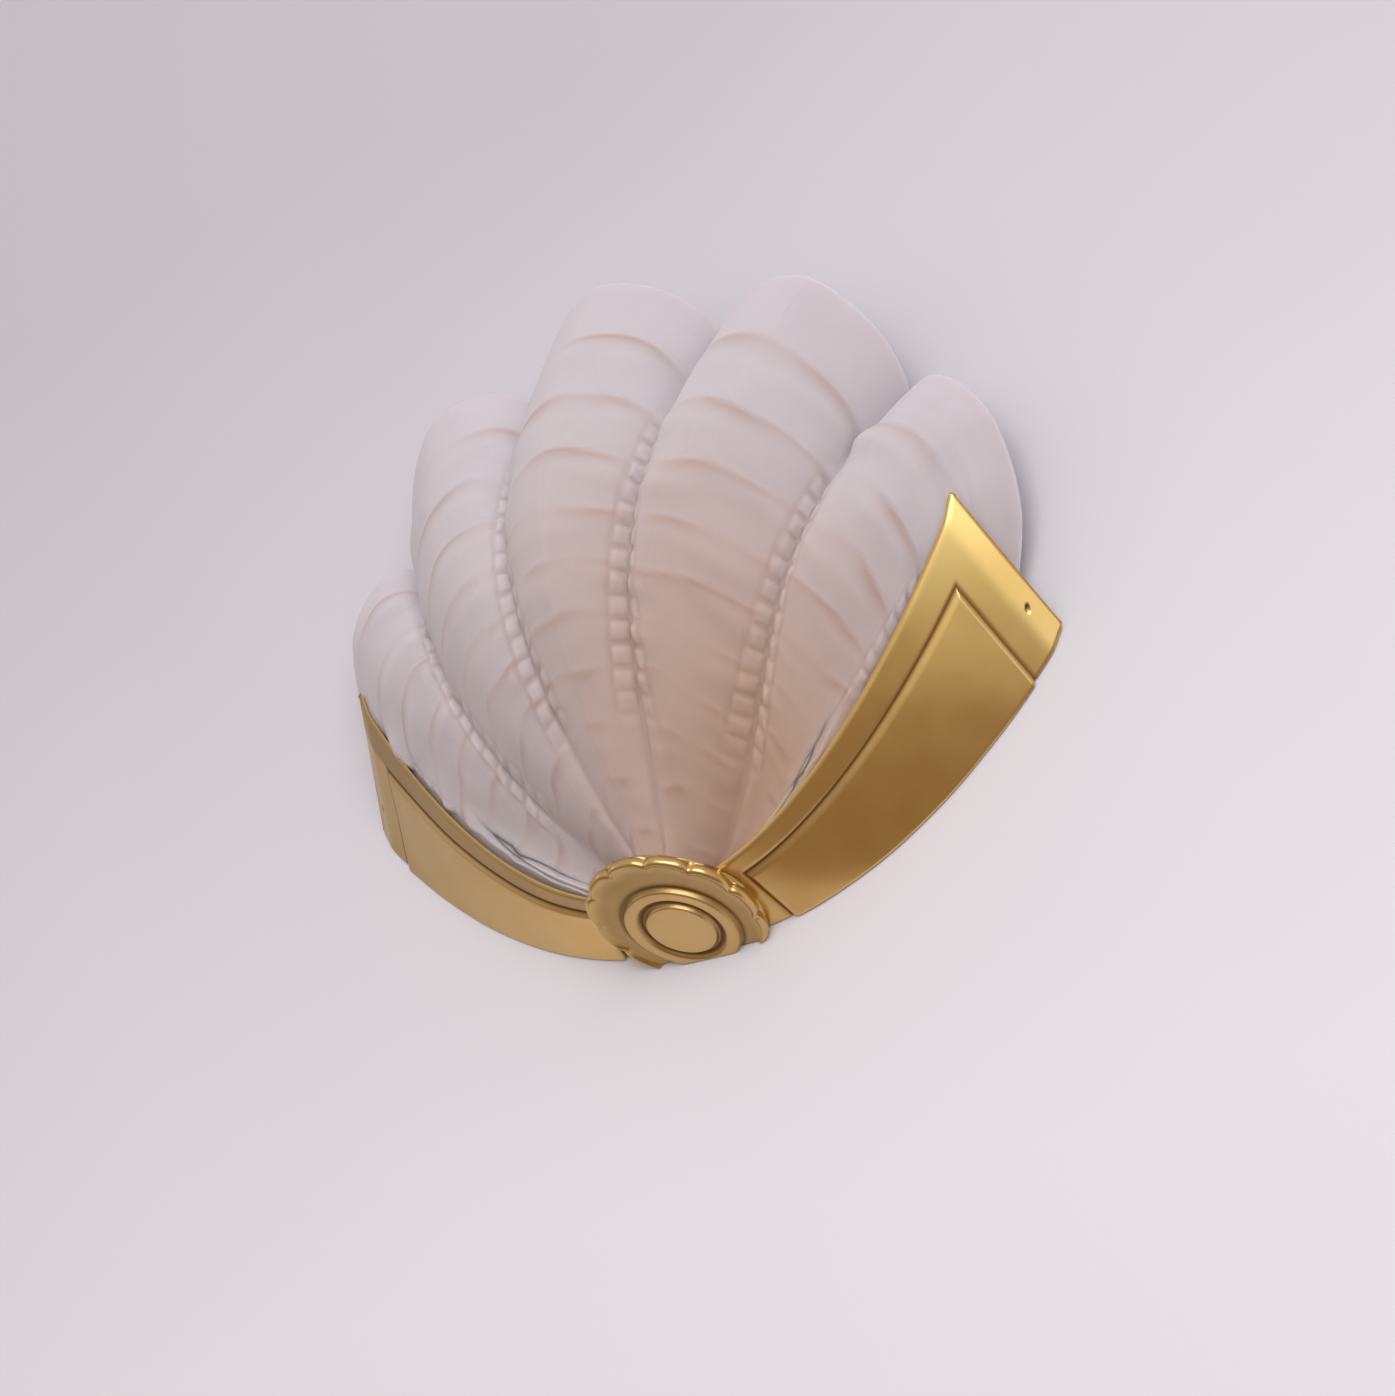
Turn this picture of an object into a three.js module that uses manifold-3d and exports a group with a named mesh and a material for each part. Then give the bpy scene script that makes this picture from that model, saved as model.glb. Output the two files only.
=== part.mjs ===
// Shell wall light: a fluted frosted-glass shell seated in a crescent brass frame, with a stepped rosette.
// Millimetres, +Z up. The wall is the plane y = 0, everything stands in front of it (y < 0), and the
// origin is on the wall at the bottom centre, in the middle of the frame's wall edge.
import * as THREE from "three";
import Module from "manifold-3d";

// Crescent frame: half widths, heights above the origin and stand-off of its two edges.
const WALL_HALF_WIDTH = 165;
const WALL_RISE = 78.9;
const WALL_POWER = 2.2;
const FRONT_HALF_WIDTH = 146;
const FRONT_BASE = 12.6;
const FRONT_RISE = 113;
const FRONT_DEPTH = 29;
const FRONT_DEPTH_GAIN = 4;
const BAND_THICKNESS = 3.2;

// Frame relief: on each arm a raised panel stands above a front border, an end block and a gap by the rosette.
const PANEL_RISE = 1.2;
const PANEL_EDGE = 0.735;
const PANEL_START = 0.243;
const PANEL_END = 0.9;
const STEP_ACROSS = 0.025;
const STEP_ALONG = 0.008;
const PIN_RADIUS = 1.2;
const PIN_DEPTH = 1.6;
const PIN_ALONG = 0.972;
const PIN_ACROSS = 0.27;

// Rosette, cast with the frame: radii, and steps counted outwards along its own axis from the frame's face.
const ROSETTE_TILT = THREE.MathUtils.degToRad(64);
const ROSETTE_DEPTH = 18.5;
const ROSETTE_RADIUS = 34;
const SCALLOPS = 12;
const SCALLOP_DEPTH = 2;
const DISC_BACK = -2.8;
const DISC_FRONT = 1.4;
const RING_RADIUS = 22.5;
const RING_FRONT = 2.8;
const RING_GROOVE = 15.6;
const GROOVE_FLOOR = 1.3;
const CENTRE_RADIUS = 14;
const CENTRE_FRONT = 2.7;
const SADDLE_RADIUS = 31;
const SADDLE_BACK = -12;

// Glass shell: a fan of flutes from a hub, each meridian a cubic from the hub to the rim.
const LOBES = 5;
const PITCH = THREE.MathUtils.degToRad(23.2);
const FAN_SPREAD = 0.49;
const HUB_Z = 6;
const PROFILE_REACH = [9, 108, 144, 219];
const PROFILE_DEPTH = [26, 80, 96, 20.4];
const REACH_LOSS = 0.43;
const REACH_GAIN = 0.7;
const DEPTH_LOSS = 1.6;
const GLASS_THICKNESS = 5;
const SWELL_BASE = 0.4;
const SWELL_GROWTH = 20.5;
const RIM_FLARE = 15;
const VALLEY_SHARE = 0.05;
const LOBE_CURVE = 1.5;
const HUB_ROUNDNESS = 0.52;
const RIM_ROUNDNESS = 0.56;
const FLANK_SPREAD = 0.14;
const TIERS = 10;
const TIERS_TO_RIM = 11.3;
const TIER_POWER = 1.25;
const TIER_BASE = 0.9;
const TIER_GROWTH = 2.2;

// The glass edge in the frame: its clearance, and how deep it sits, less deep at the hub and at the end.
const SEAT_CLEARANCE = 2.4;
const SEAT_END = 0.99;
const SEAT_TOP = 0.93;
const SEAT_HUB_DROP = 0.5;
const SEAT_END_DROP = 0.8;
const SEAT_EASE = 12;
const SEAT_POWER = 1.7;
const SEAT_REACH = 0.95;
const SEAT_FOOT = 0.24;
const END_TUCK = 0.3;

const wasm = await Module();
wasm.setup();

// A closed piece between an outer and an inner grid of points with the same rows and columns.
function closedShell(outer, inner) {
  const rows = outer.length;
  const cols = outer[0].length;
  const last = [rows - 1, cols - 1];
  const points = [...outer, ...inner].flat().flatMap((p) => [p.x, p.y, p.z]);
  const at = (side, i, j) => (side * rows + i) * cols + j;
  const index = [];
  const quad = (a, b, c, d) => index.push(a, b, c, a, c, d);
  for (let i = 0; i < last[0]; i++) {
    for (let j = 0; j < last[1]; j++) {
      quad(at(0, i, j), at(0, i, j + 1), at(0, i + 1, j + 1), at(0, i + 1, j));
      quad(at(1, i, j), at(1, i + 1, j), at(1, i + 1, j + 1), at(1, i, j + 1));
    }
    quad(at(0, i, 0), at(0, i + 1, 0), at(1, i + 1, 0), at(1, i, 0));
    quad(at(0, i + 1, last[1]), at(0, i, last[1]), at(1, i, last[1]), at(1, i + 1, last[1]));
  }
  for (let j = 0; j < last[1]; j++) {
    quad(at(0, 0, j + 1), at(0, 0, j), at(1, 0, j), at(1, 0, j + 1));
    quad(at(0, last[0], j), at(0, last[0], j + 1), at(1, last[0], j + 1), at(1, last[0], j));
  }
  return new wasm.Manifold(
    new wasm.Mesh({
      numProp: 3,
      vertProperties: new Float32Array(points),
      triVerts: new Uint32Array(index),
    }),
  );
}

function solidOf(geometry) {
  const plain = new THREE.BufferGeometry();
  plain.setAttribute("position", geometry.getAttribute("position"));
  plain.setIndex(geometry.index);
  const flat = plain.toNonIndexed().getAttribute("position");
  const keys = new Map();
  const points = [];
  const index = [];
  for (let i = 0; i < flat.count; i++) {
    const p = [flat.getX(i), flat.getY(i), flat.getZ(i)].map((c) => Math.round(c * 1e4) / 1e4 + 0);
    const key = p.join(",");
    if (!keys.has(key)) {
      keys.set(key, keys.size);
      points.push(...p);
    }
    index.push(keys.get(key));
  }
  const faces = [];
  for (let i = 0; i < index.length; i += 3) {
    const [a, b, c] = index.slice(i, i + 3);
    if (a !== b && b !== c && c !== a) faces.push(a, b, c);
  }
  return new wasm.Manifold(
    new wasm.Mesh({
      numProp: 3,
      vertProperties: new Float32Array(points),
      triVerts: new Uint32Array(faces),
    }),
  );
}

function meshOf(solid, name, material) {
  const made = solid.getMesh();
  const geometry = new THREE.BufferGeometry();
  geometry.setAttribute("position", new THREE.BufferAttribute(made.vertProperties, made.numProp));
  geometry.setIndex(new THREE.BufferAttribute(made.triVerts, 1));
  const mesh = new THREE.Mesh(geometry, material);
  mesh.name = name;
  return mesh;
}

// The frame's outer face: u runs from the left end (-1) to the right end (1), v from the wall to the front.
function wallEdge(u) {
  const z = WALL_RISE * Math.abs(u) ** WALL_POWER - BAND_THICKNESS / 2;
  return new THREE.Vector3(WALL_HALF_WIDTH * u, 0, z);
}

function frontEdge(u) {
  const depth = FRONT_DEPTH + FRONT_DEPTH_GAIN * u * u;
  return new THREE.Vector3(FRONT_HALF_WIDTH * u, -depth, FRONT_BASE - BAND_THICKNESS / 2 + FRONT_RISE * u * u);
}

// A point of the face moved by inset millimetres towards the glass, parallel to the wall.
function bandPoint(u, v, inset) {
  const face = (w) => wallEdge(w).lerp(frontEdge(w), v);
  const along = face(u + 0.001).sub(face(u - 0.001));
  const inward = new THREE.Vector3(-along.z, 0, along.x).normalize();
  return face(u).addScaledVector(inward, inset);
}

function frameRelief(u, v) {
  const a = Math.abs(u);
  const onPanel = a > PANEL_START - 0.001 && a < PANEL_END + 0.001 && v < PANEL_EDGE + 0.001;
  return onPanel ? 0 : PANEL_RISE;
}

function frameColumns() {
  const half = [0, 0.09, 0.18, PANEL_START - STEP_ALONG];
  const steps = 17;
  for (let i = 0; i <= steps; i++) half.push(PANEL_START + ((PANEL_END - PANEL_START) * i) / steps);
  half.push(PANEL_END + STEP_ALONG, 0.94, 0.97, 1);
  return [...half.slice(1).map((u) => -u).reverse(), ...half];
}

function buildFrame() {
  const across = [0, 0.25, 0.5, PANEL_EDGE, PANEL_EDGE + STEP_ACROSS, 1];
  const columns = frameColumns();
  const outer = across.map((v) => columns.map((u) => bandPoint(u, v, frameRelief(u, v))));
  const inner = across.map((v) => columns.map((u) => bandPoint(u, v, BAND_THICKNESS)));
  let solid = closedShell(outer, inner).add(buildRosette());
  for (const side of [-1, 1]) {
    const mouth = bandPoint(side * PIN_ALONG, PIN_ACROSS, -1);
    const floor = bandPoint(side * PIN_ALONG, PIN_ACROSS, PIN_DEPTH);
    const hole = new THREE.CylinderGeometry(PIN_RADIUS, PIN_RADIUS, mouth.distanceTo(floor), 12);
    const drill = floor.clone().sub(mouth).normalize();
    const turn = new THREE.Quaternion().setFromUnitVectors(new THREE.Vector3(0, 1, 0), drill);
    hole.applyQuaternion(turn);
    hole.translate(...mouth.lerp(floor, 0.5).toArray());
    solid = solid.subtract(solidOf(hole));
  }
  return solid;
}

// The rosette lies on the frame's face at the middle; local +Z is its axis, local +Y points off the wall.
function rosettePlacement() {
  const up = new THREE.Vector3(0, -Math.sin(ROSETTE_TILT), Math.cos(ROSETTE_TILT));
  const axis = new THREE.Vector3(0, -Math.cos(ROSETTE_TILT), -Math.sin(ROSETTE_TILT));
  const side = new THREE.Vector3().crossVectors(up, axis);
  const share = ROSETTE_DEPTH / FRONT_DEPTH;
  const seat = bandPoint(0, share, 0);
  return new THREE.Matrix4().makeBasis(side, up, axis).setPosition(seat);
}

function scallopedOutline() {
  const steps = SCALLOPS * 6;
  const points = [];
  for (let i = 0; i < steps; i++) {
    const turn = (2 * Math.PI * i) / steps;
    const dip = (1 - Math.abs(Math.cos((turn * SCALLOPS) / 2))) ** 2;
    const r = ROSETTE_RADIUS - SCALLOP_DEPTH * dip;
    points.push(new THREE.Vector2(r * Math.sin(turn), r * Math.cos(turn)));
  }
  return new THREE.Shape(points);
}

// Everything on the glass side of the frame's face, carried on past its front edge.
function regionBehindFace() {
  const across = [0, 0.25, 0.5, 0.75, 1, 1.5, 2.5];
  const along = [-0.3, -0.24, -0.18, -0.12, -0.06, 0, 0.06, 0.12, 0.18, 0.24, 0.3];
  const grids = [BAND_THICKNESS / 2, 40].map((inset) => across.map((v) => along.map((u) => bandPoint(u, v, inset))));
  for (const grid of grids) grid[0].forEach((p) => (p.y += 5));
  return closedShell(...grids);
}

function buildRosette() {
  const depth = DISC_FRONT - DISC_BACK;
  const disc = new THREE.ExtrudeGeometry(scallopedOutline(), { depth, bevelEnabled: false });
  disc.translate(0, 0, DISC_BACK);
  const profile = [
    [0, DISC_FRONT - 1],
    [RING_RADIUS, DISC_FRONT - 1],
    [RING_RADIUS, RING_FRONT - 0.4],
    [RING_RADIUS - 0.8, RING_FRONT],
    [RING_GROOVE + 0.8, RING_FRONT],
    [RING_GROOVE, GROOVE_FLOOR],
    [CENTRE_RADIUS, GROOVE_FLOOR],
    [CENTRE_RADIUS, CENTRE_FRONT - 0.5],
    [CENTRE_RADIUS - 0.8, CENTRE_FRONT],
    [0, CENTRE_FRONT],
  ];
  const steps = new THREE.LatheGeometry(profile.map(([r, h]) => new THREE.Vector2(r, h)), 48);
  steps.rotateX(Math.PI / 2);
  const saddle = new THREE.CylinderGeometry(SADDLE_RADIUS, SADDLE_RADIUS, DISC_FRONT - 1 - SADDLE_BACK, 48);
  saddle.rotateX(Math.PI / 2);
  saddle.translate(0, 0, (DISC_FRONT - 1 + SADDLE_BACK) / 2);
  const place = rosettePlacement();
  for (const g of [disc, steps, saddle]) g.applyMatrix4(place);
  const wall = new THREE.BoxGeometry(120, 60, 120);
  wall.translate(0, 30, 0);
  const backing = solidOf(saddle).subtract(regionBehindFace());
  return backing.add(solidOf(disc)).add(solidOf(steps)).subtract(solidOf(wall));
}

const cubic = (c, t) => {
  const r = 1 - t;
  return r * r * r * c[0] + 3 * r * r * t * c[1] + 3 * r * t * t * c[2] + t * t * t * c[3];
};

const cubicSlope = (c, t) => {
  const r = 1 - t;
  return 3 * r * r * (c[1] - c[0]) + 6 * r * t * (c[2] - c[1]) + 3 * t * t * (c[3] - c[2]);
};

// A point of the fan: s counts lobe pitches from the centre line, t runs from the hub to the rim,
// and swell lifts the point off the surface that the valleys lie on.
function fanPoint(s, t, swell) {
  const turn = s * PITCH * (1 + FAN_SPREAD * (1 - t) ** 2);
  const fall = 1 - Math.cos(turn);
  const rise = new THREE.Vector2(cubicSlope(PROFILE_REACH, t), cubicSlope(PROFILE_DEPTH, t)).normalize();
  const reach = cubic(PROFILE_REACH, t) - rise.y * swell;
  const depth = cubic(PROFILE_DEPTH, t) + rise.x * swell;
  const r = reach * (1 - REACH_LOSS * fall + REACH_GAIN * fall * fall);
  return new THREE.Vector3(r * Math.sin(turn), -depth * (1 - DEPTH_LOSS * fall), HUB_Z + r * Math.cos(turn));
}

// How near s is to the seated edge: 0 up to the last valley but one, 1 in the seat.
const nearSeat = (s) => Math.max(0, Math.min(1, (Math.abs(s) - LOBES / 2 + 1) / SEAT_REACH));

const seatDepth = (t) => SEAT_TOP - SEAT_HUB_DROP * (1 - t) ** 6 - SEAT_END_DROP * t ** 12;

// The glass edge inside the frame: side is -1 or 1, drop 1 is the edge itself and less is down its flange.
function seatPoint(side, t, drop, inset) {
  const u = Math.min(SEAT_END, fanPoint(LOBES / 2, t, 0).x / WALL_HALF_WIDTH);
  const v = seatDepth(t);
  const ease = SEAT_EASE * (SEAT_TOP - v);
  return bandPoint(side * u, v * drop, BAND_THICKNESS + SEAT_CLEARANCE + ease + inset);
}

// Where s lies across its own lobe: -1 and 1 are its valleys, 0 its back.
function acrossLobe(s) {
  const last = (LOBES - 1) / 2;
  return 2 * (s - Math.round(Math.max(-last, Math.min(last, s))));
}

// How far a lobe swells at s: flat valleys at both edges, a full back between.
function lobeShape(s, t) {
  const x = Math.abs(acrossLobe(s)) / (1 - VALLEY_SHARE);
  const power = HUB_ROUNDNESS + (RIM_ROUNDNESS - HUB_ROUNDNESS) * t * t;
  return x < 0.999 ? (1 - x ** LOBE_CURVE) ** power : 0;
}

// The plain outer surface, before its tiers: flanks stand out over the valleys towards the rim, and the
// outermost half lobes are drawn over to the seat in the frame.
function glassSurface(s, t) {
  const side = Math.sign(s);
  const w = acrossLobe(s);
  const near = nearSeat(s);
  const tuck = 1 - END_TUCK * near ** 3 * t ** 6;
  const swell = (SWELL_BASE + SWELL_GROWTH * t + RIM_FLARE * t ** 5) * tuck * lobeShape(s, t);
  const spread = FLANK_SPREAD * w * (1 - Math.abs(w) ** 3) * t * (1 - near ** 3);
  const point = fanPoint(s + spread, t, swell);
  const pull = seatPoint(side, t, 1, 0).sub(fanPoint((side * LOBES) / 2, t, 0));
  return point.addScaledVector(pull, near ** SEAT_POWER);
}

// The way out of the glass, averaged over a small patch, and turning parallel to the wall in the seat.
function glassNormal(s, t) {
  const [left, right] = [Math.max(s - 0.06, -LOBES / 2), Math.min(s + 0.06, LOBES / 2)];
  const [low, high] = [Math.max(t - 0.012, 0), Math.min(t + 0.012, 1)];
  const across = glassSurface(right, t).sub(glassSurface(left, t));
  const along = glassSurface(s, high).sub(glassSurface(s, low));
  const side = Math.sign(s);
  const outOfFrame = seatPoint(side, t, 1, 0).sub(seatPoint(side, t, 1, 1));
  return across.cross(along).normalize().lerp(outOfFrame, nearSeat(s) ** 4).normalize();
}

function glassPoint(s, t, lift) {
  const side = Math.sign(s);
  if (Math.abs(s) > LOBES / 2 + 0.01) return seatPoint(side, t, SEAT_FOOT, -lift);
  return glassSurface(s, t).addScaledVector(glassNormal(s, t), lift);
}

function buildGlass() {
  const tierAt = (i) => ((i + 0.5) / TIERS_TO_RIM) ** TIER_POWER;
  const rows = [{ t: 0, lift: 0 }];
  for (let i = 0; i < TIERS; i++) {
    const [from, to] = [tierAt(i), tierAt(i + 1)];
    const between = (share) => from + (to - from) * share;
    rows.push({ t: from, lift: 0 }, { t: between(0.5), lift: 0.55 }, { t: between(0.86), lift: 1 });
  }
  rows.push({ t: tierAt(TIERS), lift: 0 }, { t: 1, lift: 0 });
  const flat = 1 - VALLEY_SHARE;
  const inLobe = [-1, -flat, -0.84, -0.64, -0.33, 0, 0.33, 0.64, 0.84, flat];
  const edge = (LOBES - 1) / 2;
  const columns = [-LOBES / 2 - 0.5];
  for (let k = -edge; k <= edge; k++) for (const w of inLobe) columns.push(k + w / 2);
  columns.push(LOBES / 2, LOBES / 2 + 0.5);
  const outer = rows.map(({ t, lift }) =>
    columns.map((s) => {
      const step = (TIER_BASE + TIER_GROWTH * t) * lift * Math.min(1, lobeShape(s, t) * 1.5);
      return glassPoint(s, t, Math.abs(s) > LOBES / 2 ? 0 : step);
    }),
  );
  const inner = rows.map(({ t }) => columns.map((s) => glassPoint(s, t, -GLASS_THICKNESS)));
  return closedShell(outer, inner);
}

const glass = new THREE.MeshStandardMaterial({ color: 0xd9cfd3, roughness: 0.45, transparent: true, opacity: 0.9 });
const brass = new THREE.MeshStandardMaterial({ color: 0xb08a45, roughness: 0.3, metalness: 1 });

const part = new THREE.Group();
part.name = "shell_wall_light";
part.add(meshOf(buildGlass(), "glass_shell", glass));
part.add(meshOf(buildFrame(), "crescent_frame", brass));

export default part;
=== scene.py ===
# Shell wall light: a fluted frosted-glass shell in a crescent brass frame with a stepped rosette.
# Metres, +Z up. The wall is the plane y = 0 and the light stands in front of it (y < 0).
import math

import bmesh
import bpy
import numpy as np
from mathutils import Matrix, Vector, noise


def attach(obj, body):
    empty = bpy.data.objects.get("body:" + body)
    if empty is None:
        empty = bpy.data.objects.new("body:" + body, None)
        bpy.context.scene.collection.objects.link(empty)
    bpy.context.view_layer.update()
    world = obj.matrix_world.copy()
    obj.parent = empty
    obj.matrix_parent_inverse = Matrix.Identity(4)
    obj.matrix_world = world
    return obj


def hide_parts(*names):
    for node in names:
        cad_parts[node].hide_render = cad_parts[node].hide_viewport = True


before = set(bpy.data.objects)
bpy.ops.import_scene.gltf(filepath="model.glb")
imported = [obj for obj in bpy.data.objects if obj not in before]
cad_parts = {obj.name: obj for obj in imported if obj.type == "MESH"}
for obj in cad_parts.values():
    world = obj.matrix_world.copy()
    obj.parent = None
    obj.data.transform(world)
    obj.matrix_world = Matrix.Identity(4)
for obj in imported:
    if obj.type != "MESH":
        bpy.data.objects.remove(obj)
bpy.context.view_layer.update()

scene = bpy.context.scene


# ---- Camera and studio: the photograph is taken from the right and from below the light, close to a pale
# painted wall. Soft light comes from large panels; the wall is only a backdrop and isn't part of the object.
CAMERA_TARGET = Vector((0.00084, 0, 0.09498))
CAMERA_DISTANCE = 1.2393
CAMERA_AZIMUTH = 0.66323
CAMERA_BELOW = 0.33049
CAMERA_ROLL = -0.0558
LENS = 85.56
FILM_WIDTH = 36.0
WALL_SIZE = 7.0
WALL_GAP = 0.0006
# The wall's tone is painted light: a gradient from a shaded tone high up to a lit tone lower down.
WALL_FADE = (-0.34, 0.17)
WALL_CLOUDS = 0.12
WALL_SHADED_HIGH = (201, 196, 202)
WALL_LIT_LOW = (229, 227, 232)
ROOM_BRIGHTNESS = 0.75
ROOM_TONES = {
    0.0: (0.36, 0.24, 0.15, 1),
    0.25: (0.44, 0.33, 0.26, 1),
    0.5: (0.72, 0.67, 0.68, 1),
    1.0: (0.90, 0.86, 0.89, 1),
}


def place_camera():
    """The camera of the photograph: right of the light and below it, turned a little about its own axis."""
    sin_a, cos_a = math.sin(CAMERA_AZIMUTH), math.cos(CAMERA_AZIMUTH)
    sin_e, cos_e = math.sin(CAMERA_BELOW), math.cos(CAMERA_BELOW)
    back = Vector((sin_a * cos_e, -cos_a * cos_e, -sin_e))
    right = Vector((cos_a, sin_a, 0))
    up = Vector((sin_a * sin_e, -cos_a * sin_e, cos_e))
    sin_r, cos_r = math.sin(CAMERA_ROLL), math.cos(CAMERA_ROLL)
    across = cos_r * right + sin_r * up
    upward = -sin_r * right + cos_r * up
    lens = bpy.data.cameras.new("camera")
    lens.lens = LENS
    lens.sensor_width = FILM_WIDTH
    camera = bpy.data.objects.new("camera", lens)
    turn = Matrix((across, upward, back)).transposed().to_4x4()
    camera.matrix_world = Matrix.Translation(CAMERA_TARGET + back * CAMERA_DISTANCE) @ turn
    scene.collection.objects.link(camera)
    scene.camera = camera


def add_node(tree, kind, inputs=None, **settings):
    """A new node with its inputs set to values or linked to other nodes' outputs."""
    node = tree.nodes.new(kind)
    for name, value in settings.items():
        setattr(node, name, value)
    for name, value in (inputs or {}).items():
        if isinstance(value, bpy.types.NodeSocket):
            tree.links.new(value, node.inputs[name])
        else:
            node.inputs[name].default_value = value
    return node


def new_material(name):
    material = bpy.data.materials.new(name)
    material.use_nodes = True
    tree = material.node_tree
    tree.nodes.clear()
    return material, tree, tree.nodes.new("ShaderNodeOutputMaterial")


def tone(red, green, blue):
    """A colour as read off a screen, 0 to 255, made linear."""
    shares = [c / 255 for c in (red, green, blue)]
    return (*[c / 12.92 if c <= 0.04045 else ((c + 0.055) / 1.055) ** 2.4 for c in shares], 1)


def paint_wall():
    """Matt paint with painted light: darker high up and lighter lower down, as the light falls on the wall; from
    behind, the wall can't be seen.
    """
    material, tree, output = new_material("backdrop wall paint")
    place = add_node(tree, "ShaderNodeTexCoord").outputs["Object"]
    clouds = add_node(tree, "ShaderNodeTexNoise", {"Vector": place, "Scale": 4.0, "Detail": 2.0})
    # Painted light: the wall turns lighter lower down and a little to the right.
    down = add_node(tree, "ShaderNodeVectorMath", {0: place, 1: (0.08, 0, -1)}, operation="DOT_PRODUCT")
    cloudy = add_node(
        tree,
        "ShaderNodeMath",
        {0: clouds.outputs["Fac"], 1: WALL_CLOUDS, 2: down.outputs["Value"]},
        operation="MULTIPLY_ADD",
    )
    share = add_node(
        tree,
        "ShaderNodeMapRange",
        {"Value": cloudy.outputs[0], "From Min": WALL_FADE[0], "From Max": WALL_FADE[1]},
    )
    tint = add_node(
        tree,
        "ShaderNodeMix",
        {"Factor": share.outputs[0], "A": tone(*WALL_SHADED_HIGH), "B": tone(*WALL_LIT_LOW)},
        data_type="RGBA",
    )
    paint = add_node(tree, "ShaderNodeBsdfPrincipled", {"Base Color": tint.outputs["Result"], "Roughness": 0.75})
    clear = add_node(tree, "ShaderNodeBsdfTransparent")
    behind = add_node(tree, "ShaderNodeNewGeometry").outputs["Backfacing"]
    mix = add_node(tree, "ShaderNodeMixShader", {0: behind, 1: paint.outputs[0], 2: clear.outputs[0]})
    tree.links.new(mix.outputs[0], output.inputs["Surface"])
    return material


def add_wall():
    half = WALL_SIZE / 2
    corners = [(x * half, WALL_GAP, z * half) for x, z in ((-1, -1), (1, -1), (1, 1), (-1, 1))]
    mesh = bpy.data.meshes.new("backdrop_wall")
    mesh.from_pydata(corners, [], [(0, 1, 2, 3)])
    mesh.materials.append(paint_wall())
    wall = bpy.data.objects.new("backdrop_wall", mesh)
    scene.collection.objects.link(wall)


def add_panel_light(name, place, aim, size, power, colour):
    """A soft rectangular light at a place, facing the point it is aimed at."""
    data = bpy.data.lights.new(name, "AREA")
    data.shape = "RECTANGLE"
    data.size, data.size_y = size
    data.energy = power
    data.color = colour
    light = bpy.data.objects.new(name, data)
    towards = (Vector(aim) - Vector(place)).to_track_quat("-Z", "Y")
    light.matrix_world = Matrix.Translation(place) @ towards.to_matrix().to_4x4()
    scene.collection.objects.link(light)


def light_room():
    """The room around: pale above, warm and darker below, with three soft panels."""
    world = bpy.data.worlds.new("room")
    scene.world = world
    world.use_nodes = True
    tree = world.node_tree
    tree.nodes.clear()
    around = add_node(tree, "ShaderNodeTexCoord").outputs["Generated"]
    height = add_node(tree, "ShaderNodeSeparateXYZ", {"Vector": around}).outputs["Z"]
    share = add_node(tree, "ShaderNodeMapRange", {"Value": height, "From Min": -1.0, "From Max": 1.0})
    ramp = add_node(tree, "ShaderNodeValToRGB", {"Fac": share.outputs["Result"]})
    stops = ramp.color_ramp.elements
    stops[0].color, stops[1].color = ROOM_TONES[0.0], ROOM_TONES[1.0]
    for position in (0.25, 0.5):
        stops.new(position).color = ROOM_TONES[position]
    sky = add_node(tree, "ShaderNodeBackground", {"Color": ramp.outputs["Color"], "Strength": ROOM_BRIGHTNESS})
    tree.links.new(sky.outputs[0], add_node(tree, "ShaderNodeOutputWorld").inputs["Surface"])
    white = (1.0, 0.985, 0.99)
    add_panel_light("front_panel", (1.4, -2.5, 0.8), (0, 0, 0.1), (2.6, 2.0), 57, white)
    add_panel_light("camera_side_panel", (1.7, -2.5, -0.75), (0.1, 0, 0.1), (1.8, 1.1), 6, (0.7, 0.93, 1.0))
    add_panel_light("left_panel", (-2.2, -1.4, 0.5), (0, 0, 0.1), (0.8, 1.8), 3, white)


place_camera()
add_wall()
light_room()
scene.view_settings.view_transform = "Standard"
scene.view_settings.look = "None"


# ---- Crescent frame: a cast brass band, 330 mm wide, that stands on the wall and holds the glass edge.
# Each arm has a raised pillowed panel, a front border, a plain end block with a pin hole; it is polished
# and lacquered after casting.
WALL_HALF_WIDTH = 0.165
WALL_RISE = 0.0789
WALL_POWER = 2.2
FRONT_HALF_WIDTH = 0.146
FRONT_BASE = 0.0126
FRONT_RISE = 0.113
FRONT_DEPTH = 0.029
FRONT_DEPTH_GAIN = 0.004
BAND_THICKNESS = 0.0032
PANEL_RISE = 0.0012
PANEL_EDGE = 0.7475
PANEL_START = 0.243
PANEL_END = 0.904
PANEL_SHOULDER = 0.0013
PANEL_CROWN = 0.0008
GROOVE_DEPTH = 0.00035
EDGE_ROUNDING = 0.0009
END_ROUNDING = 0.0016
END_FALL = 0.0022
END_FALL_LENGTH = 0.011
PIN_RADIUS = 0.0012
PIN_DEPTH = 0.0014
PIN_ALONG = 0.972
PIN_ACROSS = 0.27
# Painted shade on the border strip of the left arm.
LEFT_BORDER_SHADE = 0.4
DENT_SIZE = 0.03
DENT_DEPTH = 0.00028
ARM_LENGTH = 0.21
TIP_STRETCH = 0.23
BRASS_ROUGHNESS = (0.285, 0.34)
BRASS_BUMP = 0.012
# The dark colour and roughness below go where the brass is painted dark: painted shade on the rosette and the
# left border, and the grooves and pin hole darkened.
PAINTED_DARK_ROUGHNESS = 0.3
PAINTED_DARK_COLOUR = (0.16, 0.075, 0.02, 1)
# Painted shade: the brass is darkened towards the band's left end.
LEFT_SHADE_REACH = (0.05, 0.16)
LEFT_SHADE_LEVEL = 0.66


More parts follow.
